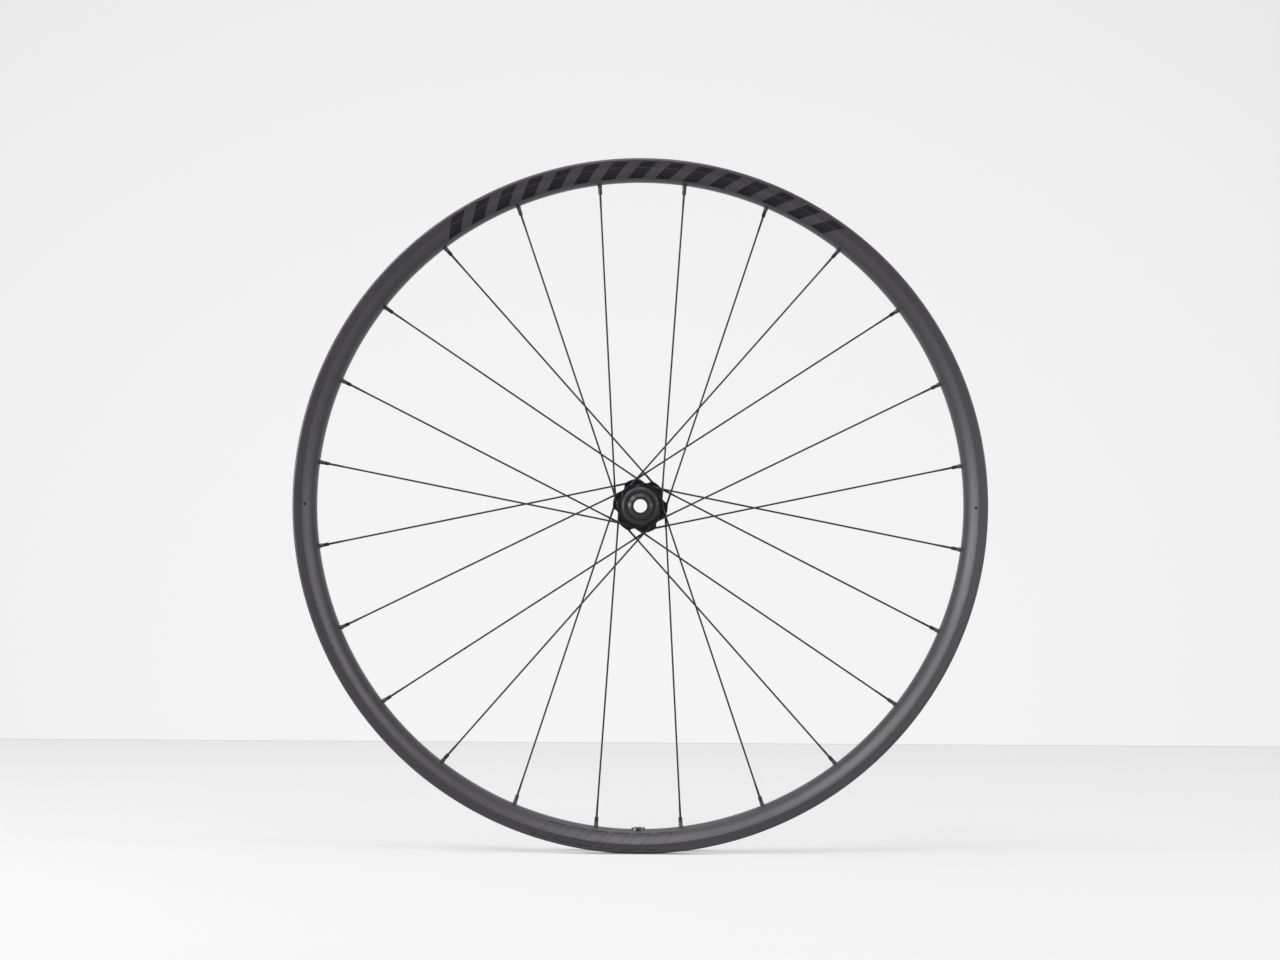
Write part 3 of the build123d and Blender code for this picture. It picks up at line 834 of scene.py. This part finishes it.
@dataclass
class Spokes:
    """Straight-pull spokes with domed heads and thicker ends."""

    lacing: Lacing
    end_r: float = 1.0
    mid_r: float = 0.82
    head_r: float = 2.0
    head_l: float = 1.7
    head_side: float = 0.45
    dome_r: float = 1.3
    dome_sweep: float = 45.0
    dome_steps: int = 4
    dome_share: float = 0.98
    butt_l: float = 16.0
    taper_l: float = 10.0
    thread_l: float = 20.0
    past_seat: float = 1.4
    seat_back: float = 0.3
    segments: int = 20

    def spoke(self, index: int) -> None:
        """Make one spoke with a domed head and two butts.

        Args:
            index: Number of the spoke, from zero.
        """
        foot, direction, seat = self.lacing.axis(index)
        start = foot - direction * self.seat_back * MM
        length = (seat - start).length / MM + self.past_seat
        thread = length - self.thread_l
        centre = (0, self.dome_r - self.head_l)
        dome = arc_points(centre, self.dome_r, -90.0, self.dome_sweep - 90.0, self.dome_steps)
        path = [(r * self.head_r / self.dome_r * self.dome_share, h) for r, h in dome] + [
            (self.head_r, -self.head_l * self.head_side),
            (self.head_r, 0),
            (self.end_r, 0),
            (self.end_r, self.butt_l),
            (self.mid_r, self.butt_l + self.taper_l),
            (self.mid_r, thread - self.taper_l),
            (self.end_r, thread),
            (self.end_r, length),
            (0, length),
        ]
        work = bmesh.new()
        MeshShop.lathe(work, [(r * MM, h * MM) for r, h in path], self.segments, False)
        name = f"spoke_{index + 1:02d}"
        piece = MeshShop.from_bmesh(f"{name}_fine", work)
        piece.matrix_world = Lacing.place(start, direction)
        settle(piece, "spoke_steel", SPOKE_STEEL, name)

    def build(self) -> None:
        """Make all spokes."""
        for index in range(self.lacing.count):
            self.spoke(index)


@dataclass
class Nipples:
    """Spoke nipples with a round collar and four wrench flats."""

    lacing: Lacing
    head_r: float = 3.0
    head_h: float = 2.4
    head_shoulder: Point2 = (0.85, 0.86)
    head_top: float = 0.7
    shank_r: float = 2.0
    shank_l: float = 11.6
    round_l: float = 5.4
    flats: float = 3.25
    flats_run: float = 0.35
    neck_l: float = 0.3
    bore_r: float = 1.03
    edge: float = 0.18
    sides: int = 40
    sharp_angle: float = 28.0

    def ring(self, radius: float, flat: float) -> list[Point2]:
        """Outline of the shank at one height.

        Args:
            radius: Radius of the round bar.
            flat: Distance from the axis to each wrench flat.

        Returns:
            Points round the outline.
        """
        points = []
        for step in range(self.sides):
            turn = 2 * math.pi * step / self.sides
            reach = min(radius, flat / max(abs(math.cos(turn)), abs(math.sin(turn))))
            points.append((reach * math.cos(turn), reach * math.sin(turn)))
        return points

    def levels(self) -> list[tuple[float, float, float]]:
        """Rings of the nipple from the spoke's side to the head.

        Returns:
            Height, radius and distance of the flats of each ring; at head_r the flats leave it round.
        """
        flat = self.flats / 2
        free = self.head_r
        foot = -self.shank_l
        step = -self.round_l
        shoulder_h, shoulder_r = self.head_shoulder
        return [
            (foot, self.bore_r, free),
            (foot, self.shank_r - 2 * self.edge, flat - self.edge),
            (foot + self.edge, self.shank_r - self.edge, flat),
            (step - self.flats_run, self.shank_r - self.edge, flat),
            (step, self.shank_r - self.edge / 2, self.shank_r - self.edge / 2),
            (step + self.edge, self.shank_r, free),
            (-self.neck_l, self.shank_r, free),
            (0, self.shank_r, free),
            (0, self.head_r, free),
            (self.head_h / 2, self.head_r, free),
            (self.head_h * shoulder_h, self.head_r * shoulder_r, free),
            (self.head_h, self.head_r * self.head_top, free),
            (self.head_h, self.bore_r, free),
        ]

    def build(self) -> None:
        """Make all nipples as one group."""
        work = bmesh.new()
        for index in range(self.lacing.count):
            _, direction, seat = self.lacing.axis(index)
            place = Lacing.place(seat, direction)
            rings = []
            for height, radius, flat in self.levels():
                spots = [Vector((x * MM, y * MM, height * MM)) for x, y in self.ring(radius, flat)]
                rings.append([work.verts.new(place @ spot) for spot in spots])
            for low, high in zip(rings, rings[1:] + rings[:1]):
                for step in range(self.sides):
                    after = (step + 1) % self.sides
                    work.faces.new((low[step], low[after], high[after], high[step]))
        piece = MeshShop.from_bmesh("nipples_fine", work, self.sharp_angle)
        settle(piece, "nipple_black", NIPPLE_BLACK, "nipples")


@dataclass
class Stripes:
    """Printed slanted stripes on the front of the rim."""

    rim: Rim
    print_t: float = 0.03
    sunk: float = 0.05
    slant: float = 2.6
    low_r: float = 298.6
    high_r: float = 313.2
    top_first: float = 56.5
    top_last: float = 123.5
    top_count: int = 15
    top_width: float = 2.5
    line_first: float = 254.5
    line_last: float = 273.5
    line_count: int = 6
    line_width: float = 2.4
    line_t: float = 0.085
    rows_per_mm: float = 1.6
    columns_per_degree: float = 2.5
    search_steps: int = 30

    def surface(self, radius: float) -> tuple[Point2, Point2]:
        """Point and outward normal on the near face of the rim.

        Args:
            radius: Radius in millimetres.

        Returns:
            (radius, y) of the point and of the normal.
        """
        rim = self.rim
        if radius >= rim.crease_r:
            share = (radius - rim.crease_r) / (rim.outer_r - rim.crease_r)
            return (radius, -rim.half_width + rim.wall_draft * share), (0.0, -1.0)
        low, high = 0.0, 1.0
        for _ in range(self.search_steps):
            middle = (low + high) / 2
            if rim.flank(middle)[0].x < radius:
                low = middle
            else:
                high = middle
        point, normal = rim.flank(low)
        return (point.x, -point.y), (normal.x, -normal.y)

    def bar(
        self,
        work: bmesh.types.BMesh,
        middle: float,
        width: float,
        low_r: float,
        high_r: float,
    ) -> None:
        """Add one slanted bar as a thin closed print.

        Args:
            work: Mesh data to add to.
            middle: Angle of the bar's middle in degrees.
            width: Width in degrees.
            low_r: Inner end in millimetres.
            high_r: Outer end in millimetres.
        """
        rows = max(2, round((high_r - low_r) * self.rows_per_mm))
        columns = max(2, round(width * self.columns_per_degree))
        span = self.high_r - self.low_r
        layers = []
        for lift in (-self.sunk, self.print_t):
            layer = []
            for row in range(rows + 1):
                radius = low_r + (high_r - low_r) * row / rows
                (r, y), (nr, ny) = self.surface(radius)
                reach = (r + nr * lift) * MM
                depth = (y + ny * lift) * MM
                lean = self.slant * ((radius - self.low_r) / span - 0.5)
                line = []
                for column in range(columns + 1):
                    angle = middle - lean + width * (column / columns - 0.5)
                    line.append(work.verts.new(polar(reach, angle, depth)))
                layer.append(line)
            layers.append(layer)
        for layer in layers:
            for first, second in zip(layer, layer[1:]):
                for column in range(columns):
                    after = column + 1
                    work.faces.new((first[column], first[after], second[after], second[column]))
        bottom, top = layers
        for row in range(rows):
            after = row + 1
            for column in (0, columns):
                low = (bottom[row][column], bottom[after][column])
                high = (top[after][column], top[row][column])
                work.faces.new(low + high)
        for column in range(columns):
            after = column + 1
            for row in (0, rows):
                low = (bottom[row][column], bottom[row][after])
                high = (top[row][after], top[row][column])
                work.faces.new(low + high)

    def outline(self, work: bmesh.types.BMesh, middle: float) -> None:
        """Add the thin outline of one slanted bar.

        Args:
            work: Mesh data to add to.
            middle: Angle of the bar's middle in degrees.
        """
        thick = math.radians(self.line_t) * self.high_r
        half = self.line_width / 2
        for side in (-half, half):
            self.bar(work, middle + side, self.line_t, self.low_r, self.high_r)
        for radius in (self.low_r, self.high_r - thick):
            self.bar(work, middle, self.line_width, radius, radius + thick)

    @staticmethod
    def spread(first: float, last: float, count: int) -> list[float]:
        """Evenly spaced angles, both ends included."""
        return [first + (last - first) * (index / (count - 1)) for index in range(count)]

    def build(self) -> None:
        """Make the stripes at the top and the outlined ones at the bottom."""
        work = bmesh.new()
        for middle in self.spread(self.top_first, self.top_last, self.top_count):
            self.bar(work, middle, self.top_width, self.low_r, self.high_r)
        piece = MeshShop.from_bmesh("rim_stripes", work)
        settle(piece, "rim_carbon", STRIPE_GLOSS)
        work = bmesh.new()
        for middle in self.spread(self.line_first, self.line_last, self.line_count):
            self.outline(work, middle)
        piece = MeshShop.from_bmesh("rim_pin_lines", work)
        settle(piece, "rim_carbon", STRIPE_GLOSS)


@dataclass
class CadDress:
    """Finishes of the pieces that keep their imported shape."""

    finishes: dict[str, Finish] = field(default_factory=lambda: {
        "rim_carbon": RIM_SATIN,
        "rim_strip": STRIP_MATT,
        "spoke_steel": SPOKE_STEEL,
        "nipple_black": NIPPLE_BLACK,
        "hub_black": HUB_BLACK,
        "cap_black": CAP_METAL,
        "axle_alloy": AXLE_METAL,
        "bearing_steel": BEARING_STEEL,
        "cage_nylon": CAGE_NYLON,
        "rubber_black": SEAL_RUBBER,
    })

    def build(self) -> None:
        """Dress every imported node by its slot."""
        for part in frame["record"]["subparts"]:
            finish = self.finishes[part["material_slot"]]
            dress(frame["nodes"][part["node"]], finish)
            log.info("packed piece %s in %s", part["node"], finish.name)


@dataclass(frozen=True)
class Lamp:
    """Soft box that faces the wheel.

    The azimuth is counted from the camera's side towards the right, and the radiance is 1 for a white face.
    """

    name: str
    azimuth: float
    elevation: float
    distance: float
    width: float
    height: float
    radiance: float
    tint: Colour = (1.0, 1.0, 1.0)

    def build(self) -> None:
        """Hang the soft box in the studio."""
        turn = math.radians(self.azimuth)
        rise = math.radians(self.elevation)
        spot = Vector((
            math.sin(turn) * math.cos(rise),
            -math.cos(turn) * math.cos(rise),
            math.sin(rise),
        )) * self.distance
        data = bpy.data.lights.new(self.name, "AREA")
        data.shape = "RECTANGLE"
        data.size = self.width
        data.size_y = self.height
        data.color = self.tint
        data.energy = self.radiance * math.pi * self.width * self.height
        made = bpy.data.objects.new(self.name, data)
        made.location = spot
        made.rotation_euler = (-spot).to_track_quat("-Z", "Y").to_euler()
        bpy.context.scene.collection.objects.link(made)


COOL = (0.96, 1.0, 0.995)
LAMPS = (
    Lamp("key_left", -57.0, 6.0, 2.3, 1.20, 0.60, 8.6, COOL),
    Lamp("key_left_mid", -55.0, 25.0, 2.3, 0.60, 0.60, 5.2),
    Lamp("key_left_high", -60.0, 45.0, 2.3, 1.60, 0.80, 6.3),
    Lamp("side_left", -80.0, 6.0, 2.3, 0.60, 0.60, 11.7, COOL),
    Lamp("fill_right", 57.0, 6.0, 2.3, 1.20, 0.60, 3.4),
    Lamp("fill_right_mid", 55.0, 25.0, 2.3, 0.60, 0.60, 8.3),
    Lamp("fill_right_high", 60.0, 45.0, 2.3, 1.60, 0.80, 1.4),
    Lamp("side_right", 80.0, 6.0, 2.3, 0.60, 0.60, 4.5),
    Lamp("front_high", 0.0, 45.0, 2.3, 0.60, 0.60, 8.5),
    Lamp("front_top", 0.0, 66.0, 2.3, 0.80, 0.80, 4.1),
    Lamp("front_low", 20.0, -3.0, 1.6, 0.30, 0.30, 5.5),
    Lamp("overhead", 0.0, 88.0, 2.3, 2.60, 2.60, 1.0),
    Lamp("behind_top", 180.0, 60.0, 2.3, 0.80, 0.80, 1.6),
)


@dataclass
class Studio:
    """Floor, wall, lamps and camera."""

    floor_z: float = -0.3165
    half_size: float = 9.0
    wall_y: float = 1.384
    wall_top: float = 5.0
    camera_distance: float = 3.0
    focal_px: float = 3281.0
    wheel_drop_px: float = 25.9
    wheel_right_px: float = 0.3
    roll: float = 0.35
    sensor_mm: float = 36.0
    sight: float = 100.0
    floor_albedo: float = 0.24
    floor_glow: float = 0.612
    floor_glow_slope: float = 0.040
    floor_glow_near: float = -1.0
    floor_glow_far: float = 0.95
    contact_shadow_reach: float = 0.010
    contact_shadow_depth: float = 1.6
    contact_shadow_samples: int = 8
    wall_albedo: float = 0.05
    wall_glow: float = 0.868
    wall_glow_least: float = 0.6
    wall_side_fall: float = 0.045
    wall_rise_fall: float = 0.072
    room: float = 0.03

    def _sheet(self, name: str, corners: list[Vector]) -> bpy.types.Object:
        """Single flat face of the stage.

        Args:
            name: Name of the face.
            corners: Its four corners in order.

        Returns:
            The new object.
        """
        mesh = bpy.data.meshes.new(name)
        mesh.from_pydata(corners, [], [(0, 1, 2, 3)])
        made = bpy.data.objects.new(name, mesh)
        bpy.context.scene.collection.objects.link(made)
        return made

    @staticmethod
    def _seen(sheet: NodeSheet, level: Socket) -> Socket:
        """Level that only direct sight, gloss and clear pieces show, and that lights nothing.

        Args:
            sheet: Node sheet of the material.
            level: Brightness, where 1 is white.

        Returns:
            The masked level.
        """
        rays = sheet.add("ShaderNodeLightPath").outputs
        seen = sheet.math("MAXIMUM", rays["Is Camera Ray"], rays["Is Glossy Ray"])
        seen = sheet.math("MAXIMUM", seen, rays["Is Transmission Ray"])
        return sheet.math("MULTIPLY", seen, level)

    @staticmethod
    def _pale(sheet: NodeSheet, albedo: float, level: Socket) -> Socket:
        """Matt paint with a pale level of its own.

        Args:
            sheet: Node sheet of the material.
            albedo: Share of the light that the paint gives back.
            level: Brightness of its own.

        Returns:
            The shader.
        """
        paint = sheet.add("ShaderNodeBsdfDiffuse")
        paint.inputs["Color"].default_value = (albedo, albedo, albedo, 1)
        glow = sheet.add("ShaderNodeEmission")
        sheet.join(Studio._seen(sheet, level), glow.inputs["Strength"])
        both = sheet.add("ShaderNodeAddShader")
        sheet.join(paint.outputs[0], both.inputs[0])
        sheet.join(glow.outputs[0], both.inputs[1])
        return both.outputs[0]

    def floor(self) -> None:
        """Large pale floor under the wheel, with a painted contact shadow: its glow is darker close to
        where the rim touches it.
        """
        reach = self.half_size
        made = self._sheet("studio_floor", [
            Vector((-reach, -reach, self.floor_z)),
            Vector((reach, -reach, self.floor_z)),
            Vector((reach, reach, self.floor_z)),
            Vector((-reach, reach, self.floor_z)),
        ])
        material = bpy.data.materials.new("studio_floor_paint")
        sheet = NodeSheet(material)
        away = sheet.split(sheet.add("ShaderNodeTexCoord").outputs["Object"])[1]
        depth = sheet.math("MAXIMUM", away, self.floor_glow_near)
        depth = sheet.math("MINIMUM", depth, self.floor_glow_far)
        level = sheet.math("MULTIPLY", depth, self.floor_glow_slope)
        level = sheet.math("ADD", level, self.floor_glow)
        # Painted contact shadow: ambient occlusion dims the floor's own glow next to the rim.
        shade = sheet.add("ShaderNodeAmbientOcclusion", samples=self.contact_shadow_samples)
        shade.inputs["Distance"].default_value = self.contact_shadow_reach
        clear = sheet.math("POWER", shade.outputs["AO"], self.contact_shadow_depth)
        level = sheet.math("MULTIPLY", level, clear)
        sheet.join(self._pale(sheet, self.floor_albedo, level), sheet.output.inputs[0])
        made.data.materials.append(material)

    def wall(self) -> None:
        """Pale wall behind the wheel, seen only from its front."""
        reach = self.half_size
        made = self._sheet("studio_wall", [
            Vector((-reach, self.wall_y, self.floor_z)),
            Vector((reach, self.wall_y, self.floor_z)),
            Vector((reach, self.wall_y, self.wall_top)),
            Vector((-reach, self.wall_y, self.wall_top)),
        ])
        material = bpy.data.materials.new("studio_wall_paint")
        sheet = NodeSheet(material)
        x, _, z = sheet.split(sheet.add("ShaderNodeTexCoord").outputs["Object"])
        across = sheet.math("MULTIPLY", x, x)
        rise = sheet.math("SUBTRACT", z, self.floor_z)
        up = sheet.math("MULTIPLY", rise, rise)
        fall = sheet.math(
            "ADD",
            sheet.math("MULTIPLY", across, self.wall_side_fall),
            sheet.math("MULTIPLY", up, self.wall_rise_fall),
        )
        level = sheet.math("MAXIMUM", sheet.math("SUBTRACT", self.wall_glow, fall), self.wall_glow_least)
        clear = sheet.add("ShaderNodeBsdfTransparent")
        pick = sheet.add("ShaderNodeMixShader")
        sheet.join(sheet.add("ShaderNodeNewGeometry").outputs["Backfacing"], pick.inputs[0])
        sheet.join(self._pale(sheet, self.wall_albedo, level), pick.inputs[1])
        sheet.join(clear.outputs[0], pick.inputs[2])
        sheet.join(pick.outputs[0], sheet.output.inputs[0])
        made.data.materials.append(material)

    def light(self) -> None:
        """Soft boxes round the camera and a dim room."""
        for lamp in LAMPS:
            lamp.build()
        world = bpy.data.worlds.new("studio_room")
        world.use_nodes = True
        back = world.node_tree.nodes["Background"]
        back.inputs["Color"].default_value = (1, 1, 1, 1)
        back.inputs["Strength"].default_value = self.room
        bpy.context.scene.world = world

    def camera(self) -> None:
        """Camera straight in front of the hub, as in the photograph."""
        data = bpy.data.cameras.new("camera")
        data.sensor_width = self.sensor_mm
        data.lens = self.focal_px / IMAGE_WIDTH_PX * data.sensor_width
        data.shift_x = -self.wheel_right_px / IMAGE_WIDTH_PX
        data.shift_y = self.wheel_drop_px / IMAGE_WIDTH_PX
        data.clip_end = self.sight
        made = bpy.data.objects.new("camera", data)
        made.location = (0, -self.camera_distance, 0)
        made.rotation_mode = "QUATERNION"
        look = Vector((0, 1, 0)).to_track_quat("-Z", "Y").to_matrix()
        tilt = Matrix.Rotation(math.radians(self.roll), 3, "Z")
        made.rotation_quaternion = (look @ tilt).to_quaternion()
        bpy.context.scene.collection.objects.link(made)
        bpy.context.scene.camera = made

    def build(self) -> None:
        """Set up the whole studio."""
        self.floor()
        self.wall()
        self.light()
        self.camera()
        bpy.context.scene.view_settings.view_transform = "Standard"
        log.info("studio ready")


def main() -> None:
    """Build the wheel and the studio."""
    logging.basicConfig(level=logging.INFO, format="%(name)s: %(message)s")
    lacing = Lacing()
    CadDress().build()
    rim = Rim(lacing)
    rim.build()
    Stripes(rim).build()
    Spokes(lacing).build()
    Nipples(lacing).build()
    Studio().build()


if __name__ == "__main__":
    main()
